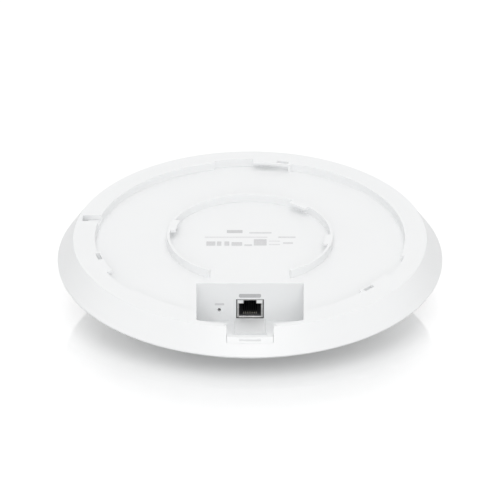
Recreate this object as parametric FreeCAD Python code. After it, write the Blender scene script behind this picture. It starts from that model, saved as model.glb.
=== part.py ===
"""A ceiling access point, about 220 mm across and 48 mm deep, as separate pieces in one frame.

Millimetres. The origin is at the centre of the mounting plane, the flat rim that meets the ceiling
bracket. +Z points to the ceiling, the dome hangs at -Z, and the network socket looks along -Y.
"""
import FreeCAD, Part
import math
import os

Vector = FreeCAD.Vector
AXIS_Z = Vector(0, 0, 1)
ORIGIN = Vector(0, 0, 0)

# ---- driving dimensions: the housing ----
EDGE_R = 110.33             # the widest edge before it is rounded, where the two covers meet
RIM_R = 100.7               # outer edge of the flat rim
EDGE_Z = -13.1              # the widest edge below the rim
TOTAL_H = 48.1
WALL = 2.2
RECESS_R = 88.15            # the sunken middle that the bracket fills
RECESS_Z = -4.85
SEAM_GAP = 0.3              # reveal line between the two covers
DOME_DEPTH = TOTAL_H + EDGE_Z
DOME_R = (EDGE_R**2 + DOME_DEPTH**2) / (2 * DOME_DEPTH)
DOME_CENTRE_Z = DOME_R - TOTAL_H

# ---- driving dimensions: the lip and snap tabs of the front cover ----
LIP_R = (101.6, 103.2)
LIP_FOOT_Z, LIP_TOP_Z = -17.0, -10.2
TAB_COUNT, TAB_HALF_DEG, TAB_TOP_Z = 8, 3.0, -8.4
TAB_BARB, TAB_BARB_Z = 0.7, (-12.2, -11.2)

# ---- driving dimensions: bracket ring and hooks ----
RING_INNER_R, RING_OUTER_R = 45.8, 47.5
RING_GAP_HALF_DEG = 28.6    # the ring is open towards the socket
HOOK_T = 1.9                # thickness of the outer hooks at their closed end
HOOK_LEAD_T = 1.6           # thickness of the outer hooks where the bracket slides in
HOOK_STOP_DEG = 1.2         # width of the wall that closes the other end
INNER_HOOK_T = 1.4
INNER_HOOK_R = 42.7
INNER_HOOKS_DEG = ((160.3, 176.0), (42.0, 57.2), (-15.9, -1.8))
OUTER_HOOK_R = 86.5
OUTER_POCKET_R = 90.3
OUTER_HOOK_DEG = (73.5, 88.7)
OUTER_ENTRY_DEG = 103.8
CORE_SLIT_DEG = (74.8, 79.4)
CORE_SLIT_R = (87.4, 89.8)
OUTER_REPEATS = 3

# ---- driving dimensions: release channel in the rim ----
CHANNEL_Y = (14.2, 20.6)
CHANNEL_R = (84.0, 96.7)
CHANNEL_Z = -2.9
CATCH_R_IN = 93.6
CATCH_Z = -7.0

# ---- driving dimensions: the port bay ----
BAY_WALL_Y = -47.6
BAY_HALF_X = 29.6           # at the socket's wall
BAY_CLOSING = 0.022         # how much each side wall closes in per millimetre towards the door
BAY_NEAR_R = 97.5
BAY_FLOOR_Z = -29.2
BAY_SLOPE_Y = -62.0
BAY_SLOPE = 0.428
BAY_SKIN = 2.0
BAY_CORNER_R = 1.0
SILL_HALF_X, SILL_NEAR_Y, SILL_Z = 8.0, -62.2, -27.9

# ---- driving dimensions: the cable door in the outer wall ----
NOTCH_HALF_X = 12.5
NOTCH_Z = -4.3
DOOR_BOTTOM_Z = -6.9
DOOR_CLEARANCE = 0.15
DOOR_REST_GAP = 0.03        # under the door, where it rests on the threshold
DOOR_RECESS = 0.12
DOOR_PLATE_T = 2.0
DOOR_TOP_T = 0.9            # the plate thins towards its upper edge
THRESHOLD_H = 2.4
DOOR_LEG_INNER_X = 9.7
DOOR_LEG_Y = -97.8
DOOR_LEG_TOP_Z = -5.5
TONGUE_X = 13.7
TONGUE_Y = (-98.8, -97.8)
TONGUE_TOP_Z = -0.3         # the tongues fill their grooves up to here
DOOR_GRIP_HALF_X, DOOR_GRIP_Z, DOOR_GRIP_DEPTH = 5.7, (-5.95, -5.05), 0.9

# ---- driving dimensions: board, plate and what they carry ----
BOARD_TOP_Z = -26.3
BOARD_T = 1.6
BOARD_R = 62.0
BOARD_CUT_HALF_X, BOARD_CUT_Y = 33.0, -45.2
CHIP_T = 1.2
PAD_T = 0.5
PLATE_T = 2.5
PLATE_R = 60.0
SCREW_DEG = (20, 90, 160, 200, 340)
SCREW_CIRCLE_R = 56.0
BOSS_R = 3.5
SCREW_R, SCREW_HEAD_R, SCREW_HEAD_T = 1.25, 2.7, 1.7
SCREW_L = 13.0
SCREW_HOLE_R = 1.7
LED_RING_R = 32.0
LED_BOARD_R = (26.0, 37.0)
LED_BOARD_Z = (-39.6, -38.6)
LED_SCREW_DEG = (30, 150, 270)
LED_SCREW_L = 5.5
LED_BOSS_R = 2.6
LED_COUNT = 6
LED_SIZE = (3.0, 2.4)
LED_T = 0.8
LIGHT_RING_W = 2.0
LIGHT_RING_T = 1.1
LIGHT_POST_R = 1.2

BOARD_BOTTOM_Z = BOARD_TOP_Z - BOARD_T
CHIP_Z = BOARD_BOTTOM_Z - CHIP_T
PLATE_TOP_Z = CHIP_Z - PAD_T
PLATE_BOTTOM_Z = PLATE_TOP_Z - PLATE_T
FLOOR_UNDER_Z = RECESS_Z - WALL

# chips are given by centre and size along X and Y
UNDER_CHIPS = {"processor": [((0, 6), (21, 21))], "memory_chips": [((20, 6), (11, 9)), ((-20, 6), (11, 9))]}
RADIO_CENTRES = ((-25, 24), (25, 24))
RADIO_CHIP_SIZE = (10, 10)
PAD_INSET = 1.0
CAN_SIZE, CAN_H, CAN_SHEET = (30, 22), 3.0, 0.3
NETWORK_TRANSFORMER = (0, -18, 16, 13, 6)
POWER_TRANSFORMER = (40, -10, 14, 14, 11)
CAPACITOR_PLACES, CAPACITOR_R, CAPACITOR_H = ((-34, -12), (-34, -23), (38, -28)), 4.0, 10.5
INDUCTOR_PLACES, INDUCTOR_SIZE = ((22, -24), (22, -34), (-22, -30)), (7, 7, 4)

# ---- driving dimensions: antennas, given by angle, length, height and width ----
STRIP_T = 0.5
ANTENNA_R = 46.0
ANTENNA_FOOT = 3.0
FEED_FROM_END = 5.0
FEED_HOLE_R = 2.0
ANTENNAS = {}
for number, degrees in enumerate((40, 140, 220, 320), 1):
    ANTENNAS["antenna_24ghz_%d" % number] = (degrees, 24.0, 6.0, 4.0)
for number, degrees in enumerate((0, 75, 105, 180), 1):
    ANTENNAS["antenna_5ghz_%d" % number] = (degrees, 11.0, 4.2, 3.0)

# ---- driving dimensions: the network socket ----
JACK_HALF_X = 7.2
JACK_Z = (BOARD_TOP_Z, -15.45)
JACK_LIP_Z = -27.05         # the front frame reaches below the board's top, in front of its edge
JACK_FRONT_Y, JACK_BACK_Y = -47.3, -29.0
JACK_SHEET = 0.35
RAMP_HALF_X = 6.45          # the slanted part of the front frame, under the way in
RAMP_TOP_Y, RAMP_TOP_Z = -46.6, -26.0
GASKET_W, GASKET_T = 2.0, 1.2
GASKET_SET_BACK = 0.2       # the foam in the gap round the socket stands this far behind the wall's face
GASKET_COLLAR_Y = -45.3
CAVITY_HALF_X, CAVITY_Z = 6.15, (-25.45, -17.95)
CAVITY_DEPTH = 13.5
LATCH_HALF_X, LATCH_TOP_Z = 3.5, -15.85
SOCKET_HOLE_HALF_X, SOCKET_HOLE_Z = 7.7, (-27.65, -15.1)
WINDOW_X, WINDOW_Z = (3.8, 6.8), (-17.8, -15.85)
WINDOW_DEPTH = 9.0
FIT = 0.02                  # between pieces of the socket that meet
CONTACT_COUNT, CONTACT_PITCH, CONTACT_W, CONTACT_T = 8, 1.02, 0.5, 0.35
CONTACT_RISE = 2.0
CONTACT_FRONT_Y = -45.5

# ---- driving dimensions: reset switch ----
RESET_X, RESET_Z = -17.1, -22.0
RESET_HOLE_R = 1.0
SWITCH_HALF_W, SWITCH_FRONT_Y, SWITCH_BACK_Y = 3.0, -43.2, -38.6
BUTTON_R, BUTTON_FRONT_Y, BUTTON_BACK_Y = 1.5, -45.1, -42.3
BUTTON_BORE_R, BUTTON_BORE_Y = 1.56, -41.3


# ---- geometry helpers ----
def box(x, y, z):
    """A block between two limits along each axis."""
    size = [abs(limits[1] - limits[0]) for limits in (x, y, z)]
    return Part.makeBox(*size, Vector(min(x), min(y), min(z)))


def post(x, y, z, radius):
    """An upright cylinder between two heights."""
    return Part.makeCylinder(radius, abs(z[1] - z[0]), Vector(x, y, min(z)), AXIS_Z)


def rod_y(x, z, y, radius):
    """A cylinder along Y between two values of Y."""
    return Part.makeCylinder(radius, abs(y[1] - y[0]), Vector(x, min(y), z), Vector(0, 1, 0))


def rounded_wire(corners, place):
    """A closed outline through (a, b, radius) corners, each one rounded by a tangent arc."""
    ends = []
    count = len(corners)
    for i, (a, b, radius) in enumerate(corners):
        here = Vector(a, b, 0)
        before = Vector(*corners[i - 1][:2], 0) - here
        after = Vector(*corners[(i + 1) % count][:2], 0) - here
        before.normalize()
        after.normalize()
        half = before.getAngle(after) / 2
        if radius == 0:
            ends.append((here, here, here))
            continue
        reach = radius / math.tan(half)
        middle = before + after
        middle.normalize()
        top = here + middle * (radius / math.sin(half) - radius)
        ends.append((here + before * reach, top, here + after * reach))
    edges = []
    for i in range(count):
        start, top, end = ends[i]
        if (end - start).Length > 1e-6:
            edges.append(Part.Arc(place(start), place(top), place(end)).toShape())
        following = ends[(i + 1) % count][0]
        edges.append(Part.LineSegment(place(end), place(following)).toShape())
    return Part.Wire(edges)


def turned(corners, start=0.0, sweep=360.0):
    """A rounded outline of (radius, height, corner radius) turned about the Z axis."""
    wire = rounded_wire(corners, lambda p: Vector(p.x, 0, p.y))
    solid = Part.Face(wire).revolve(ORIGIN, AXIS_Z, sweep)
    solid.rotate(ORIGIN, AXIS_Z, start)
    return solid


def sector(radii, z, degrees, corner=0.0):
    """A block bent round the Z axis, between two radii, heights and angles."""
    (r0, r1), (z0, z1) = sorted(radii), sorted(z)
    corners = [(r0, z0, 0), (r1, z0, 0), (r1, z1, corner), (r0, z1, corner)]
    return turned(corners, degrees[0], degrees[1] - degrees[0])


def prism_x(corners, half_width):
    """A rounded outline of (y, z, corner radius) drawn out along X, both ways from the middle."""
    wire = rounded_wire(corners, lambda p: Vector(-half_width, p.x, p.y))
    return Part.Face(wire).extrude(Vector(2 * half_width, 0, 0))


def union(shapes):
    """One solid from shapes that meet."""
    return shapes[0].multiFuse(shapes[1:]).removeSplitter()


def polar(radius, degrees):
    """X and Y of a point at a radius and an angle."""
    return radius * math.cos(math.radians(degrees)), radius * math.sin(math.radians(degrees))


def dome_z(radius, inset=0.0):
    """Height of the dome's outer surface, or of one inset below it, at a radius."""
    return DOME_CENTRE_Z - math.sqrt((DOME_R - inset)**2 - radius**2)


def taper_r(z):
    """Radius of the tapered side at a height."""
    return RIM_R + (EDGE_R - RIM_R) * z / EDGE_Z


def write(node, shape):
    """Save one piece, after making sure that it is sound."""
    assert shape.isValid() and shape.Volume > 0, node
    shape.exportStep("parts/" + node + ".step")
    print("%-22s %3d solid(s) %10.1f mm3" % (node, len(shape.Solids), shape.Volume))


# ---- the back cover ----
def cover_skin():
    """The turned skin: sunken middle, rim and tapered side."""
    slant = math.hypot(EDGE_R - RIM_R, EDGE_Z)
    across = WALL * slant / -EDGE_Z
    return turned([
        (0, RECESS_Z, 0),
        (RECESS_R, RECESS_Z, 0.6),
        (RECESS_R, 0, 0.35),
        (RIM_R, 0, 0.4),
        (EDGE_R, EDGE_Z, 0.35),
        (EDGE_R - across, EDGE_Z, 0),
        (taper_r(-WALL) - across, -WALL, 0),
        (RECESS_R + WALL, -WALL, 0),
        (RECESS_R + WALL, FLOOR_UNDER_Z, 0),
        (0, FLOOR_UNDER_Z, 0),
    ])


def bay_profile(back_y, floor_z, bend_y, near_y, top_z):
    """The bay's long section: upright back wall, level floor, then a floor that climbs."""
    near_z = floor_z + BAY_SLOPE * (bend_y - near_y)
    return [(back_y, top_z, 0), (back_y, floor_z, 0), (bend_y, floor_z, 0), (near_y, near_z, 0),
            (near_y, top_z, 0)]


def bay_half_x(y):
    """Half the bay's width at a depth."""
    return BAY_HALF_X - BAY_CLOSING * (BAY_WALL_Y - y)


def bay_plan(back_y, near_y, grow):
    """The bay's outline seen from above, as a tall prism."""
    back, near = bay_half_x(back_y) + grow, bay_half_x(near_y) + grow
    corners = [(-back, back_y), (back, back_y), (near, near_y), (-near, near_y), (-back, back_y)]
    wire = Part.makePolygon([Vector(x, y, -TOTAL_H) for x, y in corners])
    return Part.Face(wire).extrude(Vector(0, 0, TOTAL_H + 1))


def bay_tub():
    """The outside of the bay's walls and floor, up to the sunken middle and up to the rim."""
    outer_r = BAY_NEAR_R + WALL
    back_y = BAY_WALL_Y + BAY_SKIN
    profile = bay_profile(back_y, BAY_FLOOR_Z - BAY_SKIN, BAY_SLOPE_Y - 0.4, -outer_r, 0)
    tub = prism_x(profile, BAY_HALF_X + 2 * BAY_SKIN).common(bay_plan(back_y, -outer_r, BAY_SKIN))
    return tub.common(post(0, 0, (-TOTAL_H, 0), outer_r)).cut(post(0, 0, (RECESS_Z, 1), RECESS_R))


def bay_hollow():
    """The space inside the bay, open at the top."""
    near_y = -BAY_NEAR_R - 1
    hollow = prism_x(bay_profile(BAY_WALL_Y, BAY_FLOOR_Z, BAY_SLOPE_Y, near_y, 1), BAY_HALF_X + 1)
    hollow = hollow.common(bay_plan(BAY_WALL_Y, near_y, 0)).common(post(0, 0, (-TOTAL_H, 1), BAY_NEAR_R))
    near_corners = []
    for edge in hollow.Edges:
        middle = edge.CenterOfMass
        upright = abs(edge.tangentAt(edge.FirstParameter).z) > 0.99
        if upright and middle.y < BAY_SLOPE_Y and abs(middle.x) > BAY_HALF_X - 2:
            near_corners.append(edge)
    return hollow.makeFillet(BAY_CORNER_R, near_corners)


def bay_sill():
    """The low step on the bay's floor under the socket, with sloping sides."""
    slope = 1.3             # how far the step's sides run out over its height
    back = BAY_WALL_Y + 0.5
    foot = Part.makePolygon([
        Vector(-SILL_HALF_X - slope, back, BAY_FLOOR_Z - 0.5),
        Vector(SILL_HALF_X + slope, back, BAY_FLOOR_Z - 0.5),
        Vector(SILL_HALF_X + slope, SILL_NEAR_Y - 0.6, BAY_FLOOR_Z - 0.5),
        Vector(-SILL_HALF_X - slope, SILL_NEAR_Y - 0.6, BAY_FLOOR_Z - 0.5),
        Vector(-SILL_HALF_X - slope, back, BAY_FLOOR_Z - 0.5),
    ])
    top = Part.makePolygon([
        Vector(-SILL_HALF_X, back, SILL_Z),
        Vector(SILL_HALF_X, back, SILL_Z),
        Vector(SILL_HALF_X, SILL_NEAR_Y, SILL_Z),
        Vector(-SILL_HALF_X, SILL_NEAR_Y, SILL_Z),
        Vector(-SILL_HALF_X, back, SILL_Z),
    ])
    return Part.makeLoft([foot, top], True)


def door_frame():
    """Solid jambs and a threshold round the cable door, between the bay wall and the tapered side."""
    jamb = TONGUE_X + 1.5
    frame = box((-jamb, jamb), (-EDGE_R, -90), (DOOR_BOTTOM_Z - THRESHOLD_H, 0))
    inside_taper = turned([(0, 0, 0), (RIM_R - 0.3, 0, 0), (EDGE_R - 0.5, EDGE_Z, 0), (0, EDGE_Z, 0)])
    return frame.common(inside_taper).cut(post(0, 0, (-TOTAL_H, 1), BAY_NEAR_R))


def door_opening():
    """What the door fills and the notch above it, with the two upright grooves for its tongues."""
    bottom = DOOR_BOTTOM_Z - DOOR_REST_GAP
    window = box((-NOTCH_HALF_X, NOTCH_HALF_X), (-EDGE_R - 1, -94.0), (bottom, 1))
    groove_y = (TONGUE_Y[0] - DOOR_CLEARANCE, TONGUE_Y[1] + DOOR_CLEARANCE)
    groove_x = TONGUE_X + DOOR_CLEARANCE
    return window.fuse(box((-groove_x, groove_x), groove_y, (bottom, 1)))


def outer_hook_solid(turn):
    """One hook, still solid down to the sunken middle, and the thicker wall behind it."""
    low, high = OUTER_HOOK_DEG
    block = sector((OUTER_HOOK_R, RECESS_R + 0.6), (RECESS_Z - 0.5, 0), (low + turn, high + turn), 0.25)
    wall_deg = (low - 2 + turn, OUTER_ENTRY_DEG + 2 + turn)
    wall = sector((RECESS_R + 0.5, OUTER_POCKET_R + WALL), (FLOOR_UNDER_Z, -0.5), wall_deg)
    return [block, wall]


def hook_ramp(turn):
    """The wedge that makes a hook grow thicker from its lead-in end to its closed end."""
    low, high = OUTER_HOOK_DEG
    reach = OUTER_POCKET_R * math.radians(high - low) / 2 + 1
    top = -HOOK_LEAD_T + 0.1
    corners = [(-reach, top), (reach, top), (reach, -HOOK_LEAD_T), (-reach, -HOOK_T)]
    wire = Part.makePolygon([Vector(OUTER_HOOK_R - 2, y, z) for y, z in corners + corners[:1]])
    wedge = Part.Face(wire).extrude(Vector(OUTER_POCKET_R - OUTER_HOOK_R + 4, 0, 0))
    wedge.rotate(ORIGIN, AXIS_Z, (low + high) / 2 + turn)
    return wedge


def outer_hook_pocket(turn):
    """The entry beside one outer hook, the undercut beneath and behind it, and the slit over that."""
    low, high = OUTER_HOOK_DEG
    entry_r = (RECESS_R - 2, OUTER_POCKET_R)
    entry = sector(entry_r, (RECESS_Z, 1), (high + turn, OUTER_ENTRY_DEG + turn))
    under_deg = (low + HOOK_STOP_DEG + turn, high + 0.1 + turn)
    under = sector((OUTER_HOOK_R - 1, OUTER_POCKET_R), (RECESS_Z, -HOOK_LEAD_T), under_deg)
    slit = sector(CORE_SLIT_R, (RECESS_Z, 1), (CORE_SLIT_DEG[0] + turn, CORE_SLIT_DEG[1] + turn))
    return [entry, under.cut(hook_ramp(turn)), slit]


def inner_ring():
    """The raised ring in the middle, open towards the socket, with its three inward hooks."""
    gap_end = -90 + RING_GAP_HALF_DEG
    wall_deg = (gap_end, gap_end + 360 - 2 * RING_GAP_HALF_DEG)
    wall = sector((RING_INNER_R, RING_OUTER_R), (RECESS_Z - 0.5, 0), wall_deg, 0.3)
    hook_r = (INNER_HOOK_R, RING_INNER_R + 0.8)
    hooks = [sector(hook_r, (-INNER_HOOK_T, 0), span, 0.25) for span in INNER_HOOKS_DEG]
    return union([wall] + hooks)


def release_channel_solid():
    """Material under the rim for the release channel and its catch."""
    x = (-CHANNEL_R[1] - 1.6, -RECESS_R + 1.6)
    return box(x, (CHANNEL_Y[0] - WALL, CHANNEL_Y[1] + WALL), (CATCH_Z - 1.8, -0.5))


def release_channel():
    """The channel across the rim where a tool reaches the bracket's lock, with a deep catch at its end."""
    channel = box((-CHANNEL_R[1], -CHANNEL_R[0]), CHANNEL_Y, (CHANNEL_Z, 1))
    catch = box((-CHANNEL_R[1], -CATCH_R_IN), CHANNEL_Y, (CATCH_Z, 1))
    return channel.fuse(catch)


def back_cover():
    """The cover that faces the ceiling, in one moulding."""
    turns = [360 / OUTER_REPEATS * i for i in range(OUTER_REPEATS)]
    screw_places = [polar(SCREW_CIRCLE_R, a) for a in SCREW_DEG]
    inside = turned([(0, 0, 0), (RIM_R, 0, 0), (EDGE_R, EDGE_Z, 0), (0, EDGE_Z, 0)])
    added = [cover_skin(), bay_tub(), door_frame(), release_channel_solid().common(inside)]
    added += [post(x, y, (BOARD_TOP_Z, RECESS_Z - 0.5), BOSS_R) for x, y in screw_places]
    removed = [bay_hollow(), door_opening(), release_channel()]
    for turn in turns:
        added += outer_hook_solid(turn)
        removed += outer_hook_pocket(turn)
    pilot_z = (BOARD_TOP_Z - 1, BOARD_TOP_Z + 11)
    removed += [post(x, y, pilot_z, SCREW_R + 0.05) for x, y in screw_places]
    hole_y = (BAY_WALL_Y - 1, BAY_WALL_Y + BAY_SKIN + 1)
    removed.append(box((-SOCKET_HOLE_HALF_X, SOCKET_HOLE_HALF_X), hole_y, SOCKET_HOLE_Z))
    removed.append(rod_y(RESET_X, RESET_Z, hole_y, RESET_HOLE_R))
    cover = union(added).cut(union(removed))
    return union([cover, inner_ring(), bay_sill().common(bay_tub())])


# ---- the front cover and its light ring ----
def dome_solid(inset, top_z):
    """The solid cap under a height, inset from the dome's outer surface."""
    radius = DOME_R - inset
    centre = Vector(0, 0, DOME_CENTRE_Z)
    edge_r = math.sqrt(radius**2 - (DOME_CENTRE_Z - top_z)**2)
    low = centre + Vector(0, 0, -radius)
    half_angle = math.asin(edge_r / radius) / 2
    middle = centre + Vector(radius * math.sin(half_angle), 0, -radius * math.cos(half_angle))
    edge = Vector(edge_r, 0, top_z)
    top = Vector(0, 0, top_z)
    wire = Part.Wire([
        Part.Arc(low, middle, edge).toShape(),
        Part.LineSegment(edge, top).toShape(),
        Part.LineSegment(top, low).toShape(),
    ])
    return Part.Face(wire).revolve(ORIGIN, AXIS_Z, 360)


def light_ring_groove(grow):
    """The ring's section, turned, reaching below the dome's surface."""
    half = LIGHT_RING_W / 2 + grow
    top = dome_z(LED_RING_R) + LIGHT_RING_T + grow
    return sector((LED_RING_R - half, LED_RING_R + half), (-TOTAL_H - 1, top), (0, 360))


def light_posts(grow, top_z):
    """One light post over each LED, up through the dome."""
    low = dome_z(LED_RING_R) + LIGHT_RING_T - 0.2
    step = 360 / LED_COUNT
    return [post(*polar(LED_RING_R, step * i), (low, top_z), LIGHT_POST_R + grow) for i in range(LED_COUNT)]


def front_cover():
    """The domed cover, with the lip and snap tabs that enter the back cover."""
    top_z = EDGE_Z - SEAM_GAP
    shell = dome_solid(0, top_z).cut(dome_solid(WALL, top_z + 0.01))
    lip = sector(LIP_R, (LIP_FOOT_Z, LIP_TOP_Z), (0, 360)).common(dome_solid(WALL / 2, LIP_TOP_Z + 1))
    step = 360 / TAB_COUNT
    tabs = []
    for i in range(TAB_COUNT):
        degrees = (step * (i + 0.5) - TAB_HALF_DEG, step * (i + 0.5) + TAB_HALF_DEG)
        tabs.append(sector(LIP_R, (LIP_TOP_Z - 0.2, TAB_TOP_Z), degrees, 0.3))
        tabs.append(sector((LIP_R[1] - 0.2, LIP_R[1] + TAB_BARB), TAB_BARB_Z, degrees, 0.2))
    door_room = TONGUE_X + 2.5
    lip = lip.cut(box((-door_room, door_room), (-EDGE_R, -90), (DOOR_BOTTOM_Z - THRESHOLD_H - 0.6, 0)))
    cover = union([shell, lip] + tabs)
    return cover.cut(union([light_ring_groove(0.05)] + light_posts(0.05, -42)))


def light_ring():
    """The clear ring in the dome's middle, flush with its surface, with its light posts."""
    ring = light_ring_groove(0).common(dome_solid(0, -40))
    return union([ring] + light_posts(0, LED_BOARD_Z[0] - LED_T - 0.1))


# ---- the cable door ----
def cable_door():
    """The small lift-out door under the cable notch: curved plate, two legs and two tongues."""
    top_r, bottom_r = taper_r(NOTCH_Z) - DOOR_RECESS, taper_r(DOOR_BOTTOM_Z) - DOOR_RECESS
    front = (-110, 40)          # where the plate's section starts, and how far it turns
    plate = turned([
        (top_r, NOTCH_Z, 0.4),
        (bottom_r, DOOR_BOTTOM_Z, 0),
        (bottom_r - DOOR_PLATE_T, DOOR_BOTTOM_Z, 0),
        (top_r - DOOR_TOP_T, NOTCH_Z, 0.4),
    ], *front)
    half = NOTCH_HALF_X - DOOR_CLEARANCE
    plate = plate.common(box((-half, half), (-EDGE_R, -90), (EDGE_Z, 0)))
    behind_plate = turned([
        (0, NOTCH_Z, 0),
        (top_r - 0.5, NOTCH_Z, 0),
        (bottom_r - 0.5, DOOR_BOTTOM_Z, 0),
        (0, DOOR_BOTTOM_Z, 0),
    ])
    pieces = [plate]
    for side in (-1, 1):
        leg_z = (DOOR_BOTTOM_Z, DOOR_LEG_TOP_Z)
        leg = box((side * DOOR_LEG_INNER_X, side * half), (-EDGE_R, DOOR_LEG_Y), leg_z)
        pieces.append(leg.common(behind_plate))
        foot = box((side * (half - 1), side * TONGUE_X), TONGUE_Y, leg_z)
        tongue = box((side * NOTCH_HALF_X, side * TONGUE_X), TONGUE_Y, (DOOR_BOTTOM_Z, TONGUE_TOP_Z))
        pieces += [foot, tongue]
    grip_r = [taper_r(z) - DOOR_RECESS - DOOR_GRIP_DEPTH for z in DOOR_GRIP_Z]
    grip = turned([
        (grip_r[1], DOOR_GRIP_Z[1], 0),
        (EDGE_R, DOOR_GRIP_Z[1], 0),
        (EDGE_R, DOOR_GRIP_Z[0], 0),
        (grip_r[0], DOOR_GRIP_Z[0], 0),
    ], *front)
    grip_x = (-DOOR_GRIP_HALF_X, DOOR_GRIP_HALF_X)
    return union(pieces).cut(grip.common(box(grip_x, (-EDGE_R, -90), (EDGE_Z, 0))))


# ---- boards, plate and fasteners ----
def bay_clearance(z):
    """The space that the boards leave for the bay."""
    return box((-BOARD_CUT_HALF_X, BOARD_CUT_HALF_X), (-EDGE_R, BOARD_CUT_Y), z)


def screw(x, y, head_z, length):
    """A pan-head screw that points up, with a cross recess in its head."""
    head = turned([
        (0, head_z, 0), (SCREW_HEAD_R, head_z, 0), (SCREW_HEAD_R, head_z - SCREW_HEAD_T, 0.6),
        (0, head_z - SCREW_HEAD_T, 0)])
    body = head.fuse(post(0, 0, (head_z, head_z + length), SCREW_R))
    recess_z = (head_z - SCREW_HEAD_T - 1, head_z - SCREW_HEAD_T + 1)
    cross = box((-1.4, 1.4), (-0.3, 0.3), recess_z).fuse(box((-0.3, 0.3), (-1.4, 1.4), recess_z))
    body = body.cut(cross)
    body.translate(Vector(x, y, 0))
    return body


def main_board():
    """The round main board, cut away at the bay, with its screw holes."""
    board = post(0, 0, (BOARD_BOTTOM_Z, BOARD_TOP_Z), BOARD_R)
    holes = [post(*polar(SCREW_CIRCLE_R, a), (-TOTAL_H, 0), SCREW_HOLE_R) for a in SCREW_DEG]
    return board.cut(union([bay_clearance((-TOTAL_H, 0))] + holes))


def chassis_plate():
    """The cast plate that cools the chips and grounds the antennas."""
    plate = post(0, 0, (PLATE_BOTTOM_Z, PLATE_TOP_Z), PLATE_R).cut(bay_clearance((-TOTAL_H, 0)))
    added = [plate]
    holes = []
    for degrees in SCREW_DEG:
        x, y = polar(SCREW_CIRCLE_R, degrees)
        added.append(post(x, y, (PLATE_TOP_Z - 1, BOARD_BOTTOM_Z), BOSS_R))
        holes.append(post(x, y, (-TOTAL_H, 0), SCREW_HOLE_R))
    for degrees in LED_SCREW_DEG:
        x, y = polar(LED_RING_R, degrees)
        added.append(post(x, y, (LED_BOARD_Z[1], PLATE_BOTTOM_Z + 1), LED_BOSS_R))
        holes.append(post(x, y, (-TOTAL_H, LED_BOARD_Z[1] + LED_SCREW_L), SCREW_R + 0.05))
    for spec in ANTENNAS.values():
        holes.append(post(*feed_point(spec[0], spec[1]), (-TOTAL_H, 0), FEED_HOLE_R))
    return union(added).cut(union(holes))


def led_board():
    """The ring-shaped board that carries the status LEDs."""
    board = sector(LED_BOARD_R, LED_BOARD_Z, (0, 360))
    holes = [post(*polar(LED_RING_R, a), (-TOTAL_H, 0), SCREW_R + 0.25) for a in LED_SCREW_DEG]
    return board.cut(union(holes))


def status_leds():
    """The LEDs, one over each light post."""
    length, width = LED_SIZE
    leds = []
    for i in range(LED_COUNT):
        x = (LED_RING_R - length / 2, LED_RING_R + length / 2)
        led = box(x, (-width / 2, width / 2), (LED_BOARD_Z[0] - LED_T, LED_BOARD_Z[0]))
        led.rotate(ORIGIN, AXIS_Z, 360 / LED_COUNT * i)
        leds.append(led)
    return Part.makeCompound(leds)


# ---- chips and power parts ----
def chips(places, z):
    """Flat chips, each given by its centre and its size, between two heights."""
    blocks = []
    for (x, y), (w, d) in places:
        blocks.append(box((x - w / 2, x + w / 2), (y - d / 2, y + d / 2), z))
    return Part.makeCompound(blocks)


def thermal_pads():
    """Soft pads between the chips and the plate, a little smaller than the chips."""
    places = []
    for chip_places in UNDER_CHIPS.values():
        for centre, (w, d) in chip_places:
            places.append((centre, (w - 2 * PAD_INSET, d - 2 * PAD_INSET)))
    return chips(places, (PLATE_TOP_Z, CHIP_Z))


def radio_chips():
    """The two radio chips on top of the main board."""
    z = (BOARD_TOP_Z, BOARD_TOP_Z + CHIP_T)
    return chips([(centre, RADIO_CHIP_SIZE) for centre in RADIO_CENTRES], z)


def shield_can(centre):
    """A thin metal lid over one radio chip."""
    (x, y), (w, d) = centre, CAN_SIZE
    outer = box((x - w / 2, x + w / 2), (y - d / 2, y + d / 2), (BOARD_TOP_Z, BOARD_TOP_Z + CAN_H))
    t = CAN_SHEET
    inner_z = (BOARD_TOP_Z - 1, BOARD_TOP_Z + CAN_H - t)
    return outer.cut(box((x - w / 2 + t, x + w / 2 - t), (y - d / 2 + t, y + d / 2 - t), inner_z))


def magnetics(x, y, w, d, h):
    """A block-shaped transformer with softened upright edges."""
    block = box((x - w / 2, x + w / 2), (y - d / 2, y + d / 2), (BOARD_TOP_Z, BOARD_TOP_Z + h))
    upright = [e for e in block.Edges if abs(e.tangentAt(e.FirstParameter).z) > 0.9]
    return block.makeFillet(0.8, upright)


def capacitors():
    """Upright can capacitors, each with the groove near its foot."""
    cans = []
    for x, y in CAPACITOR_PLACES:
        can = post(x, y, (BOARD_TOP_Z, BOARD_TOP_Z + CAPACITOR_H), CAPACITOR_R)
        groove = Part.makeTorus(CAPACITOR_R + 0.3, 0.6, Vector(x, y, BOARD_TOP_Z + 1.8), AXIS_Z)
        cans.append(can.cut(groove))
    return Part.makeCompound(cans)


def inductors():
    """Moulded power inductors."""
    return Part.makeCompound([magnetics(x, y, *INDUCTOR_SIZE) for x, y in INDUCTOR_PLACES])


# ---- antennas ----
def feed_point(degrees, length):
    """X and Y of the feed pin of an antenna."""
    x, y = polar(ANTENNA_R, degrees)
    dx, dy = polar(FEED_FROM_END - length / 2, degrees + 90)
    return x + dx, y + dy


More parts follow.
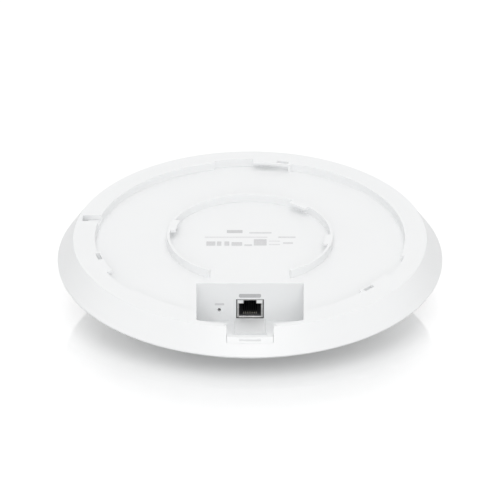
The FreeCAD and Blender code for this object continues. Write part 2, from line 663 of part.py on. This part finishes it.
def antenna(degrees, length, height, width):
    """A folded strip: foot on the plate, short leg, long strip, and a feed pin up to the board."""
    low = PLATE_BOTTOM_Z - height
    x = (ANTENNA_R - width / 2, ANTENNA_R + width / 2)
    start = -length / 2
    foot = box(x, (start - ANTENNA_FOOT, start + STRIP_T), (PLATE_BOTTOM_Z - STRIP_T, PLATE_BOTTOM_Z))
    leg = box(x, (start, start + STRIP_T), (low, PLATE_BOTTOM_Z))
    strip = box(x, (start, start + length), (low, low + STRIP_T))
    pin_y = start + FEED_FROM_END
    pin = box((ANTENNA_R - 0.5, ANTENNA_R + 0.5), (pin_y - 0.25, pin_y + 0.25), (low, BOARD_BOTTOM_Z))
    piece = union([foot, leg, strip, pin])
    piece.rotate(ORIGIN, AXIS_Z, degrees)
    return piece


# ---- the network socket ----
def jack_front_shape(y, overrun=0.0):
    """The plug's way in: a wide cavity with the narrower latch channel above it."""
    cavity = box((-CAVITY_HALF_X, CAVITY_HALF_X), y, CAVITY_Z)
    latch = box((-LATCH_HALF_X, LATCH_HALF_X), y, (CAVITY_Z[1] - 0.1, LATCH_TOP_Z + overrun))
    return cavity.fuse(latch)


def window_blocks(y, grow=0.0, overrun=0.0):
    """The two light windows in the socket's upper corners, grown or run out through the corners."""
    x = (WINDOW_X[0] - grow, WINDOW_X[1] + overrun)
    z = (WINDOW_Z[0] - grow, WINDOW_Z[1] + overrun)
    return [box((side * x[0], side * x[1]), y, z) for side in (-1, 1)]


def jack_shield():
    """The folded metal shell, with the bright frame round the cavity."""
    t = JACK_SHEET
    outer = box((-JACK_HALF_X, JACK_HALF_X), (JACK_FRONT_Y, JACK_BACK_Y), JACK_Z)
    inner_z = (JACK_Z[0] - 1, JACK_Z[1] - t)
    inner = box((-JACK_HALF_X + t, JACK_HALF_X - t), (JACK_FRONT_Y + t, JACK_BACK_Y - t), inner_z)
    front = (JACK_FRONT_Y - 1, JACK_FRONT_Y + 1)
    under_cavity = box((-CAVITY_HALF_X, CAVITY_HALF_X), front, (JACK_Z[0] - 1, CAVITY_Z[0] + 0.1))
    shell = outer.cut(union([inner, jack_front_shape(front), under_cavity] + window_blocks(front)))
    pieces = [shell, jack_ramp(0)]
    for side in (-1, 1):
        corner_x = (side * CAVITY_HALF_X, side * JACK_HALF_X)
        pieces.append(box(corner_x, (JACK_FRONT_Y, JACK_FRONT_Y + t), (JACK_LIP_Z, JACK_Z[0] + 0.1)))
    return union(pieces)


def jack_ramp(grow):
    """The slanted strip under the way in that guides a plug into the cavity."""
    run = (RAMP_TOP_Y - JACK_FRONT_Y) / (RAMP_TOP_Z - JACK_LIP_Z)
    top_z = RAMP_TOP_Z + grow
    top_y = RAMP_TOP_Y + run * grow - grow
    low_y = JACK_FRONT_Y - grow
    thick = JACK_SHEET + 2 * grow
    low_z = JACK_LIP_Z
    corners = [(low_y, low_z, 0), (low_y + thick, low_z, 0), (top_y + thick, top_z, 0), (top_y, top_z, 0)]
    return prism_x(corners, RAMP_HALF_X + grow)


def jack_insert():
    """The dark plastic body inside the shell, hollow for the plug."""
    t = JACK_SHEET + FIT
    block = box((-JACK_HALF_X + t, JACK_HALF_X - t), (JACK_FRONT_Y + t, JACK_BACK_Y - t),
                (JACK_Z[0], JACK_Z[1] - t))
    way_in = JACK_FRONT_Y - 1
    cavity = jack_front_shape((way_in, JACK_FRONT_Y + CAVITY_DEPTH), 0.5)
    windows = window_blocks((way_in, JACK_FRONT_Y + WINDOW_DEPTH), FIT, 0.5)
    return block.cut(union([cavity] + windows)).cut(jack_ramp(FIT))


def jack_light_pipes():
    """The two clear blocks that show the link lights."""
    return Part.makeCompound(window_blocks((JACK_FRONT_Y - 0.05, JACK_FRONT_Y + WINDOW_DEPTH - 0.1)))


def jack_contacts():
    """The row of spring contacts, rising towards the back of the cavity."""
    wires = []
    front_y, back_y = CONTACT_FRONT_Y, JACK_FRONT_Y + CAVITY_DEPTH
    low, high = CAVITY_Z[0], CAVITY_Z[0] + CONTACT_RISE
    foot_top = low + CONTACT_T + 0.2
    points = [(front_y, low), (front_y + 1.0, low), (back_y, high - CONTACT_T), (back_y, high),
              (front_y + 0.8, foot_top), (front_y, foot_top), (front_y, low)]
    for i in range(CONTACT_COUNT):
        x = (i - (CONTACT_COUNT - 1) / 2) * CONTACT_PITCH
        wire = Part.makePolygon([Vector(x - CONTACT_W / 2, y, z) for y, z in points])
        wires.append(Part.Face(wire).extrude(Vector(CONTACT_W, 0, 0)))
    return Part.makeCompound(wires)


def jack_gasket():
    """The dark foam seal: a frame behind the bay wall and a collar that fills the gap round the socket."""
    y = (BAY_WALL_Y + BAY_SKIN, BAY_WALL_Y + BAY_SKIN + GASKET_T)
    low = BOARD_TOP_Z
    frame = box((-JACK_HALF_X - GASKET_W, JACK_HALF_X + GASKET_W), y, (low, JACK_Z[1] + GASKET_W))
    hole_x = SOCKET_HOLE_HALF_X - FIT
    collar = box((-hole_x, hole_x), (BAY_WALL_Y + GASKET_SET_BACK, GASKET_COLLAR_Y),
                 (SOCKET_HOLE_Z[0] + FIT, SOCKET_HOLE_Z[1] - FIT))
    socket = box((-JACK_HALF_X - FIT, JACK_HALF_X + FIT), (BAY_WALL_Y - 1, y[1] + 1),
                 (JACK_LIP_Z - FIT, JACK_Z[1] + FIT))
    return frame.fuse(collar).cut(socket)


# ---- the reset switch ----
def reset_switch_body():
    """The switch's square body, standing on the main board, with the bore for its button."""
    x = (RESET_X - SWITCH_HALF_W, RESET_X + SWITCH_HALF_W)
    body = box(x, (SWITCH_FRONT_Y, SWITCH_BACK_Y), (BOARD_TOP_Z, RESET_Z + SWITCH_HALF_W))
    return body.cut(rod_y(RESET_X, RESET_Z, (SWITCH_FRONT_Y - 1, BUTTON_BORE_Y), BUTTON_BORE_R))


def reset_button():
    """The round button behind the pin hole."""
    button = rod_y(RESET_X, RESET_Z, (BUTTON_FRONT_Y, BUTTON_BACK_Y), BUTTON_R)
    front = [e for e in button.Edges if abs(e.CenterOfMass.y - BUTTON_FRONT_Y) < 0.01]
    return button.makeFillet(0.25, front)


def screws():
    """The board's long screws and the LED board's short ones."""
    long_ones = [screw(*polar(SCREW_CIRCLE_R, a), PLATE_BOTTOM_Z, SCREW_L) for a in SCREW_DEG]
    short_ones = [screw(*polar(LED_RING_R, a), LED_BOARD_Z[0], LED_SCREW_L) for a in LED_SCREW_DEG]
    return Part.makeCompound(long_ones), Part.makeCompound(short_ones)


def build():
    """Write every piece."""
    os.makedirs("parts", exist_ok=True)
    write("back_cover", back_cover())
    write("front_cover", front_cover())
    write("light_ring", light_ring())
    write("cable_door", cable_door())
    write("main_board", main_board())
    write("chassis_plate", chassis_plate())
    write("led_board", led_board())
    write("status_leds", status_leds())
    board_screws, led_board_screws = screws()
    write("board_screws", board_screws)
    write("led_board_screws", led_board_screws)
    for node, places in UNDER_CHIPS.items():
        write(node, chips(places, (CHIP_Z, BOARD_BOTTOM_Z)))
    write("thermal_pads", thermal_pads())
    write("radio_chips", radio_chips())
    for number, centre in enumerate(RADIO_CENTRES, 1):
        write("radio_shield_%d" % number, shield_can(centre))
    write("network_transformer", magnetics(*NETWORK_TRANSFORMER))
    write("power_transformer", magnetics(*POWER_TRANSFORMER))
    write("capacitors", capacitors())
    write("inductors", inductors())
    for node, spec in ANTENNAS.items():
        write(node, antenna(*spec))
    write("jack_shield", jack_shield())
    write("jack_insert", jack_insert())
    write("jack_light_pipes", jack_light_pipes())
    write("jack_contacts", jack_contacts())
    write("jack_gasket", jack_gasket())
    write("reset_switch_body", reset_switch_body())
    write("reset_button", reset_button())


build()
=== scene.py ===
"""Looks for the ceiling access point: finishes, printed marks, floor, lights and camera.

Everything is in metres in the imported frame: the mounting plane is z = 0, +Z points to the ceiling,
and the network socket looks along -Y. The access point lies on its dome.
"""
import math

import bmesh
import bpy
from mathutils import Matrix, Vector


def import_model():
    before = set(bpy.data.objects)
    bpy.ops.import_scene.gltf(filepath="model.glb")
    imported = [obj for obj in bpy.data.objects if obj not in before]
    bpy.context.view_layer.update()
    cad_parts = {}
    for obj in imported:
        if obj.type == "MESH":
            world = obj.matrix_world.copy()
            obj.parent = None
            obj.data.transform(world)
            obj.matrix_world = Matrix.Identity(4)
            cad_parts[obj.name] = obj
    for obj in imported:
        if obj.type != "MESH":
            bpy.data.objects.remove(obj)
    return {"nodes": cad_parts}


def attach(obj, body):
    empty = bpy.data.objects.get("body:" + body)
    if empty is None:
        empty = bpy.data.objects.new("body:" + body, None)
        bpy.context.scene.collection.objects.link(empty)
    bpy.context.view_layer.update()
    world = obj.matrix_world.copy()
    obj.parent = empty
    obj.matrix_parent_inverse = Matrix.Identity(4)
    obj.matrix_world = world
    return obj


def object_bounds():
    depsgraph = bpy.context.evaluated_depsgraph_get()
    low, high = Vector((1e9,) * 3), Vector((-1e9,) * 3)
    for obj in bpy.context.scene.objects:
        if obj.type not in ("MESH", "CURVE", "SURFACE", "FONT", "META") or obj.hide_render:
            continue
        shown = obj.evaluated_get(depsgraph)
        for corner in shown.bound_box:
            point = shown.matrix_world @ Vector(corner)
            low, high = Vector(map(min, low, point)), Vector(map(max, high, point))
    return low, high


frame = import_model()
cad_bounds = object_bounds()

MM = 0.001
nodes = frame["nodes"]

# ---- places in the frame ----
FLOOR_Z = cad_bounds[0][2]           # the dome's lowest point stands on the floor
RECESS_Z = -4.85 * MM                # the sunken middle that carries print
BAY_WALL_Y = -47.6 * MM              # the port bay's wall, with the socket and the reset hole
PRINT_DEPTH = 0.03 * MM              # how far print stands out of its face, and reaches into it
LIT_GOLD_TOP_Z = -24.95 * MM             # the contacts show lit gold up to here, and from here on their colour is painted shade, though the wire is gold there too
PAINTED_SHADE_FROM_Z = -24.75 * MM            # and dull from here on

# ---- looks that several pieces share ----
HOUSING_WHITE = (0.90, 0.908, 0.912)
SKIN_RELIEF = 0.02 * MM              # height of a moulded grain or of rolling lines
WHITE_SCATTER = 1.2 * MM             # how far light spreads inside the white plastic
EVEN_SCATTER = (1.0, 1.0, 1.0)       # the same for red, green and blue

# ---- floor: polished under the dome, with a glow away from it that paints the edge of the dome's shadow ----
FLOOR_HALF_SIZE = 6.0
POLISH = 0.45                        # how much of a mirror the middle is
POLISH_OVAL = 0.74                   # a distance along X counts this much of one along Y
POLISH_FADE = (0.070, 0.095)         # the polish fades between these distances from the Z axis
GLOW = 0.175                         # painted light: emission that comes up away from the dome and draws the edge of its shadow
GLOW_OVAL = 0.66
GLOW_FADE = (0.062, 0.079)           # and it comes up between these

# ---- lights and camera ----
WORLD_STRENGTH = 0.484
SOFTBOXES = {                        # place, side of the square, power in watts
    "top_softbox": ((0.0, 0.25, 1.4), 1.6, 7.3),
    "front_softbox": ((0.0, -1.6, 0.9), 1.2, 11.8),
    "left_softbox": ((-1.6, 0.0, 0.7), 1.2, 2.9),
    "right_softbox": ((1.6, 0.0, 0.7), 1.2, 2.8),
    "back_softbox": ((0.0, 1.8, 0.8), 1.2, 3.1),
}
CAMERA_PLACE = (0.0, -1.0549, 0.60324)
CAMERA_TARGET = (0.0, 0.0, -0.01117)
CAMERA_NEAR = 0.01
SENSOR_WIDTH_MM = 36.0
FOCAL_LENGTH_MM = 153.42


# ---- small helpers ----
def link(obj):
    """Put a new object in the scene."""
    bpy.context.scene.collection.objects.link(obj)
    return obj


def mesh_object(name, bm):
    """A new object from a bmesh."""
    mesh = bpy.data.meshes.new(name)
    bm.to_mesh(mesh)
    bm.free()
    return link(bpy.data.objects.new(name, mesh))


def aim(obj, direction):
    """Turn a light or a camera to look along a direction."""
    obj.rotation_euler = direction.to_track_quat("-Z", "Y").to_euler()


# ---- shader nodes ----
def new_material(name):
    """A node material, its tree and its shader."""
    material = bpy.data.materials.new(name)
    material.use_nodes = True
    tree = material.node_tree
    return material, tree, tree.nodes["Principled BSDF"]


def set_values(node, values):
    """Fixed values on a node's own sockets."""
    for socket, value in values.items():
        node.inputs[socket].default_value = value


def object_coordinates(tree):
    """The output that gives a point's place in the frame, in metres."""
    return tree.nodes.new("ShaderNodeTexCoord").outputs["Object"]


def stretched(tree, factors):
    """The point's place, scaled along each axis, for grain that runs one way."""
    node = tree.nodes.new("ShaderNodeVectorMath")
    node.operation = "MULTIPLY"
    node.inputs[1].default_value = factors
    tree.links.new(object_coordinates(tree), node.inputs[0])
    return node.outputs["Vector"]


def noise(tree, scale, detail=3.0, roughness=0.5, vector=None):
    """A noise texture in object space, or along a given vector."""
    node = tree.nodes.new("ShaderNodeTexNoise")
    set_values(node, {"Scale": scale, "Detail": detail, "Roughness": roughness})
    tree.links.new(vector or object_coordinates(tree), node.inputs["Vector"])
    return node.outputs["Fac"]


def cells(tree, scale, metric="EUCLIDEAN"):
    """A cell texture in object space."""
    node = tree.nodes.new("ShaderNodeTexVoronoi")
    node.distance = metric
    set_values(node, {"Scale": scale})
    tree.links.new(object_coordinates(tree), node.inputs["Vector"])
    return node.outputs["Distance"]


def ramp(tree, value, low, high, start=0.35, end=0.65):
    """A colour that goes from low to high as the value goes from start to end."""
    node = tree.nodes.new("ShaderNodeValToRGB")
    for stop, position, colour in zip(node.color_ramp.elements, (start, end), (low, high)):
        stop.position = position
        stop.color = (*colour, 1)
    tree.links.new(value, node.inputs["Fac"])
    return node.outputs["Color"]


def map_range(tree, value, low, high, start=0.3, end=0.7, kind="LINEAR"):
    """A number that goes from low to high as the value goes from start to end."""
    node = tree.nodes.new("ShaderNodeMapRange")
    node.interpolation_type = kind
    set_values(node, {"From Min": start, "From Max": end, "To Min": low, "To Max": high})
    tree.links.new(value, node.inputs["Value"])
    return node.outputs["Result"]


def mixed(tree, factor, first, second):
    """Two colour outputs blended by a factor from 0 to 1."""
    node = tree.nodes.new("ShaderNodeMix")
    node.data_type = "RGBA"
    tree.links.new(factor, node.inputs["Factor"])
    tree.links.new(first, node.inputs["A"])
    tree.links.new(second, node.inputs["B"])
    return node.outputs["Result"]


def colour_and_gloss(tree, shader, colour, roughness):
    """Link a colour and a roughness to the shader."""
    tree.links.new(colour, shader.inputs["Base Color"])
    tree.links.new(roughness, shader.inputs["Roughness"])


def bump(tree, shader, height, strength, distance):
    """Small relief on the surface."""
    node = tree.nodes.new("ShaderNodeBump")
    set_values(node, {"Strength": strength, "Distance": distance})
    tree.links.new(height, node.inputs["Height"])
    tree.links.new(node.outputs["Normal"], shader.inputs["Normal"])


# ---- materials ----
def moulded(name, low, high, roughness, grain=9000.0, relief=0.15, extra=None):
    """A moulded surface: faint flow marks in its colour and a fine spark-eroded grain."""
    material, tree, shader = new_material(name)
    flow = noise(tree, 18.0, detail=2.0)
    colour = ramp(tree, flow, low, high)
    cloud = noise(tree, 220.0, detail=4.0, roughness=0.6)
    colour_and_gloss(tree, shader, colour, map_range(tree, cloud, *roughness))
    bump(tree, shader, noise(tree, grain, detail=2.0), relief, SKIN_RELIEF)
    set_values(shader, extra or {})
    return material


def white_plastic(name, tone):
    """Satin white polycarbonate, slightly cool, with a little light scattering inside."""
    low = tuple(c * 0.992 for c in tone)
    return moulded(name, low, tone, (0.36, 0.44), extra={
        "Subsurface Weight": 0.08, "Subsurface Radius": EVEN_SCATTER,
        "Subsurface Scale": WHITE_SCATTER, "IOR": 1.5})


def milky(name, tone, depth):
    """Cloudy clear plastic that carries light, with flow marks and a moulded skin."""
    low = tuple(c * 0.96 for c in tone)
    return moulded(name, low, tone, (0.18, 0.28), grain=4000.0, relief=0.1, extra={
        "Subsurface Weight": 0.6, "Subsurface Radius": EVEN_SCATTER,
        "Subsurface Scale": depth, "Coat Weight": 0.3})


def rolled_metal(name, low, high, roughness, along=(60.0, 4000.0, 4000.0)):
    """Plated sheet or strip with fine rolling lines and small stains."""
    material, tree, shader = new_material(name)
    lines = noise(tree, 1.0, roughness=0.6, vector=stretched(tree, along))
    stains = noise(tree, 500.0, detail=5.0, roughness=0.65)
    colour = ramp(tree, stains, low, high)
    colour_and_gloss(tree, shader, colour, map_range(tree, lines, *roughness))
    bump(tree, shader, lines, strength=0.12, distance=SKIN_RELIEF)
    set_values(shader, {"Metallic": 1.0})
    return material


def contact_metal(name):
    """Spring wire: gold flash on the low feet of the contacts, and painted shade above them, where
    the gold wire lies in the socket's shadow.
    """
    material, tree, shader = new_material(name)
    stains = noise(tree, 1500.0, detail=4.0, roughness=0.6)
    gold = ramp(tree, stains, (0.70, 0.67, 0.58), (0.84, 0.81, 0.73))
    # painted shade: the upper parts of the contacts are gold as well, and this near-black stands for
    # the shadow they lie in inside the socket
    dull = ramp(tree, stains, (0.030, 0.030, 0.034), (0.055, 0.053, 0.055))
    place = tree.nodes.new("ShaderNodeSeparateXYZ")
    tree.links.new(object_coordinates(tree), place.inputs["Vector"])
    # the mask is 0 on the lit gold feet and 1 above them, where the colour is painted shade
    painted_shade_mask = map_range(tree, place.outputs["Z"], 0.0, 1.0, LIT_GOLD_TOP_Z, PAINTED_SHADE_FROM_Z)
    colour = mixed(tree, painted_shade_mask, gold, dull)
    colour_and_gloss(tree, shader, colour, map_range(tree, stains, 0.42, 0.6))
    set_values(shader, {"Metallic": 1.0})
    return material


def cast_metal(name):
    """Pressure-cast aluminium: flow marks, a sandy skin and small pits."""
    material, tree, shader = new_material(name)
    flow = noise(tree, 60.0, detail=5.0, roughness=0.6)
    colour = ramp(tree, flow, (0.50, 0.51, 0.52), (0.66, 0.67, 0.68))
    skin = noise(tree, 2500.0, detail=4.0, roughness=0.7)
    colour_and_gloss(tree, shader, colour, map_range(tree, skin, 0.42, 0.62))
    bump(tree, shader, skin, strength=0.5, distance=0.05 * MM)
    set_values(shader, {"Metallic": 0.9})
    return material


def circuit_board(name):
    """Solder mask over copper: a maze of tracks, darker gaps and small plated holes."""
    material, tree, shader = new_material(name)
    tracks = cells(tree, 420.0, metric="CHEBYCHEV")
    mask = ramp(tree, tracks, (0.010, 0.070, 0.040), (0.022, 0.130, 0.075), start=0.40, end=0.46)
    holes = cells(tree, 260.0)
    plated = ramp(tree, noise(tree, 900.0), (0.55, 0.50, 0.38), (0.70, 0.64, 0.50))
    near_hole = map_range(tree, holes, 1.0, 0.0, start=0.09, end=0.11)
    colour = mixed(tree, near_hole, mask, plated)
    colour_and_gloss(tree, shader, colour, map_range(tree, noise(tree, 700.0), 0.28, 0.42))
    bump(tree, shader, tracks, strength=0.35, distance=0.03 * MM)
    return material


def lamp(name):
    """Clear resin over a pale yellow phosphor."""
    material, tree, shader = new_material(name)
    phosphor = cells(tree, 900.0)
    colour = ramp(tree, phosphor, (0.90, 0.78, 0.30), (0.93, 0.92, 0.86), start=0.2, end=0.5)
    colour_and_gloss(tree, shader, colour, map_range(tree, noise(tree, 1500.0), 0.12, 0.3))
    set_values(shader, {"Coat Weight": 0.8})
    return material


def capacitor_can(name):
    """Drawn aluminium with faint rings from the drawing die."""
    material, tree, shader = new_material(name)
    rings = noise(tree, 1.0, detail=2.0, vector=stretched(tree, (40.0, 40.0, 3000.0)))
    colour = ramp(tree, rings, (0.62, 0.62, 0.63), (0.78, 0.78, 0.79))
    colour_and_gloss(tree, shader, colour, map_range(tree, noise(tree, 800.0), 0.22, 0.36))
    bump(tree, shader, rings, strength=0.15, distance=SKIN_RELIEF)
    set_values(shader, {"Metallic": 1.0})
    return material


def soft(name, low, high, scale, relief):
    """Foam or silicone: open pores and a dull skin."""
    material, tree, shader = new_material(name)
    pores = cells(tree, scale)
    colour = ramp(tree, pores, low, high, start=0.1, end=0.6)
    colour_and_gloss(tree, shader, colour, map_range(tree, noise(tree, scale / 2), 0.8, 0.95))
    bump(tree, shader, pores, relief, distance=0.15 * MM)
    return material


def print_ink(name, tone):
    """Pad print: thin ink with small breaks and a dull skin."""
    material, tree, shader = new_material(name)
    breaks = noise(tree, 2600.0, roughness=0.7)
    colour = ramp(tree, breaks, tuple(c * 0.82 for c in tone), tone)
    colour_and_gloss(tree, shader, colour, map_range(tree, breaks, 0.5, 0.7))
    return material


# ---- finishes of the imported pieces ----
def finish(names, material):
    """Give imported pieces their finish."""
    for name in names:
        slots = nodes[name].material_slots
        if not slots:
            nodes[name].data.materials.append(material)
        for slot in slots:
            slot.material = material


def numbered(stem, count):
    """The names of a numbered family of pieces."""
    return ["%s_%d" % (stem, number) for number in range(1, count + 1)]


def finishes():
    """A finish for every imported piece."""
    for name in ("back_cover", "cable_door", "front_cover"):
        finish([name], white_plastic(name + "_white", HOUSING_WHITE))
    finish(["light_ring"], milky("clear_light_guide", (0.86, 0.88, 0.90), 3 * MM))
    finish(["jack_light_pipes"], milky("window_plastic", (0.94, 0.95, 0.94), 1 * MM))
    finish(["main_board", "led_board"], circuit_board("circuit_board"))
    finish(["status_leds"], lamp("led"))
    finish(["chassis_plate"], cast_metal("cast_plate"))
    finish(["board_screws", "led_board_screws"], rolled_metal(
        "screw_steel", (0.50, 0.50, 0.49), (0.68, 0.68, 0.69), (0.25, 0.4),
        along=(900.0, 900.0, 900.0)))
    finish(["processor", "memory_chips", "radio_chips"], moulded(
        "chip_black", (0.018, 0.018, 0.02), (0.03, 0.03, 0.033), (0.5, 0.65),
        grain=5000.0, relief=0.3))
    finish(["thermal_pads"], soft(
        "thermal_pad", (0.34, 0.40, 0.50), (0.46, 0.52, 0.60), scale=2500.0, relief=0.2))
    finish(numbered("radio_shield", 2), rolled_metal(
        "shield_steel", (0.62, 0.62, 0.60), (0.76, 0.76, 0.74), (0.22, 0.38)))
    finish(["network_transformer", "power_transformer", "inductors"], moulded(
        "magnetic_core", (0.035, 0.035, 0.038), (0.075, 0.075, 0.08), (0.45, 0.7),
        grain=3000.0, relief=0.5))
    finish(["capacitors"], capacitor_can("capacitor_can"))
    finish(numbered("antenna_24ghz", 4) + numbered("antenna_5ghz", 4), rolled_metal(
        "antenna_metal", (0.66, 0.64, 0.58), (0.78, 0.77, 0.71), (0.2, 0.34)))
    finish(["jack_shield"], rolled_metal(
        "socket_metal", (0.50, 0.50, 0.50), (0.62, 0.62, 0.61), (0.5, 0.62)))
    finish(["jack_insert"], moulded(
        "socket_plastic", (0.044, 0.044, 0.048), (0.056, 0.056, 0.060), (0.35, 0.5)))
    finish(["jack_contacts"], contact_metal("contact_gold"))
    finish(["jack_gasket"], soft(
        "foam", (0.012, 0.012, 0.013), (0.035, 0.035, 0.037), scale=2500.0, relief=0.6))
    finish(["reset_switch_body"], moulded(
        "switch_black", (0.02, 0.02, 0.022), (0.035, 0.035, 0.038), (0.4, 0.55)))
    # near black: the button's own dark plastic, made darker still as painted shade of the pin hole
    # it sits in
    finish(["reset_button"], moulded(
        "button_grey", (0.010, 0.010, 0.011), (0.018, 0.018, 0.019), (0.5, 0.65)))


# ---- printed marks ----
def flat_bar(bm, centre, size, corner):
    """A rounded bar in the XY plane, half above and half below it, added to a bmesh."""
    steps = 4
    outline = []
    for sign_x, sign_y, start in ((1, 1, 0), (-1, 1, 90), (-1, -1, 180), (1, -1, 270)):
        for step in range(steps + 1):
            turn = math.radians(start + 90 * step / steps)
            x = centre[0] + sign_x * (size[0] / 2 - corner) + corner * math.cos(turn)
            y = centre[1] + sign_y * (size[1] / 2 - corner) + corner * math.sin(turn)
            outline.append((x, y))
    lower = [bm.verts.new((x, y, -PRINT_DEPTH)) for x, y in outline]
    upper = [bm.verts.new((x, y, PRINT_DEPTH)) for x, y in outline]
    bm.faces.new(lower[::-1])
    bm.faces.new(upper)
    for i in range(len(outline)):
        bm.faces.new((lower[i - 1], lower[i], upper[i], upper[i - 1]))


def printed(name, bars, place, material, rounding=0.3):
    """Bars given in millimetres as (x, y, width, height), printed as one piece on a flat face."""
    radii = 2.2                      # a bar's side is at least this many corner radii
    bm = bmesh.new()
    for x, y, width, height in bars:
        corner = min(rounding * MM, width * MM / radii, height * MM / radii)
        flat_bar(bm, (x * MM, y * MM), (width * MM, height * MM), corner)
    bm.transform(place)
    obj = mesh_object(name, bm)
    obj.data.materials.append(material)
    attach(obj, "housing")


def print_marks():
    """Plain bars where the housing carries print.

    They are inside the middle ring, over the socket and over the reset hole.
    """
    dark = print_ink("ink_dark", (0.565, 0.565, 0.575))
    mid = print_ink("ink_mid", (0.70, 0.70, 0.71))
    light = print_ink("ink_soft", (0.745, 0.745, 0.755))
    pale = print_ink("ink_pale", (0.78, 0.78, 0.79))
    faint = print_ink("ink_faint", (0.84, 0.84, 0.85))
    middle = Matrix.Translation((0, 0, RECESS_Z))
    wall = Matrix.Translation((0, BAY_WALL_Y, 0)) @ Matrix.Rotation(math.radians(90), 4, "X")
    printed("print_name_bar", [(-8.8, 10.2, 9.0, 3.4)], middle, mid)
    printed("print_type_bar", [(6.0, 8.7, 12.8, 1.5)], middle, pale)
    printed("print_text_line", [(-8.0, 3.7, 36.0, 1.2)], middle, faint)
    printed("print_text_end", [(21.1, 3.7, 10.0, 1.4)], middle, pale)
    printed("print_blocks", [
        (-22.3, -3.6, 5.2, 4.8), (-17.6, -3.6, 2.6, 4.8), (-13.2, -3.6, 2.8, 4.8),
        (-7.5, -4.0, 6.1, 4.0), (-1.0, -5.4, 4.5, 1.6)], middle, light)
    printed("print_panel", [(5.85, -2.2, 7.3, 7.2)], middle, light)
    printed("print_side_lines", [(14.0, -0.8, 6.4, 1.0), (14.0, -4.6, 6.4, 1.0)], middle, faint)
    printed("print_side_bar", [(21.7, -3.0, 5.6, 1.6)], middle, pale)
    printed("print_socket_bar", [(0.0, -12.8, 12.2, 2.35)], wall, dark, rounding=0.75)
    printed("print_reset_bar", [(-16.95, -18.3, 5.3, 1.3)], wall, pale, rounding=0.5)


# ---- floor, lights, camera ----
def by_distance(tree, oval, fade, inside, outside):
    """A number that changes smoothly with the distance from the Z axis.

    The distance is measured in the floor's plane, with lengths along X scaled by oval.
    """
    flat = stretched(tree, (oval, 1.0, 0.0))
    length = tree.nodes.new("ShaderNodeVectorMath")
    length.operation = "LENGTH"
    tree.links.new(flat, length.inputs[0])
    return map_range(tree, length.outputs["Value"], inside, outside, *fade, kind="SMOOTHSTEP")


def floor():
    """A plain white floor: polished under the dome, with painted light away from it that draws the
    edge of the dome's shadow.
    """
    bm = bmesh.new()
    bmesh.ops.create_grid(bm, x_segments=2, y_segments=2, size=FLOOR_HALF_SIZE)
    obj = mesh_object("floor", bm)
    obj.location.z = FLOOR_Z
    material, tree, shader = new_material("floor_white")
    colour = ramp(tree, noise(tree, 2.0), (0.93, 0.93, 0.93), (0.94, 0.94, 0.94))
    polish = by_distance(tree, POLISH_OVAL, POLISH_FADE, POLISH, 0.0)
    # painted shadow edge: the floor's emission is zero under the dome and comes up with distance
    # from it
    glow = by_distance(tree, GLOW_OVAL, GLOW_FADE, 0.0, GLOW)
    tree.links.new(colour, shader.inputs["Base Color"])
    tree.links.new(polish, shader.inputs["Metallic"])
    tree.links.new(glow, shader.inputs["Emission Strength"])
    set_values(shader, {"Roughness": 0.05, "Specular IOR Level": 0.3,
                        "Emission Color": (1.0, 1.0, 1.0, 1)})
    obj.data.materials.append(material)


def softbox(name, place, side, power):
    """A soft square light that looks at the object."""
    data = bpy.data.lights.new(name, "AREA")
    data.shape = "SQUARE"
    data.size = side
    data.energy = power
    obj = link(bpy.data.objects.new(name, data))
    obj.location = place
    aim(obj, -Vector(place))


def world():
    """Even white light from all round."""
    studio = bpy.data.worlds.new("studio")
    studio.use_nodes = True
    background = studio.node_tree.nodes["Background"]
    set_values(background, {"Color": (1.0, 1.0, 1.0, 1), "Strength": WORLD_STRENGTH})
    bpy.context.scene.world = studio


def camera():
    """The camera, about 30 degrees above the mounting plane, on the socket's side."""
    data = bpy.data.cameras.new("camera")
    data.sensor_width = SENSOR_WIDTH_MM
    data.lens = FOCAL_LENGTH_MM
    data.clip_start = CAMERA_NEAR
    obj = link(bpy.data.objects.new("camera", data))
    obj.location = CAMERA_PLACE
    aim(obj, Vector(CAMERA_TARGET) - obj.location)
    bpy.context.scene.camera = obj


finishes()
print_marks()
floor()
world()
camera()
for name, (place, side, power) in SOFTBOXES.items():
    softbox(name, place, side, power)
bpy.context.scene.view_settings.view_transform = "Standard"
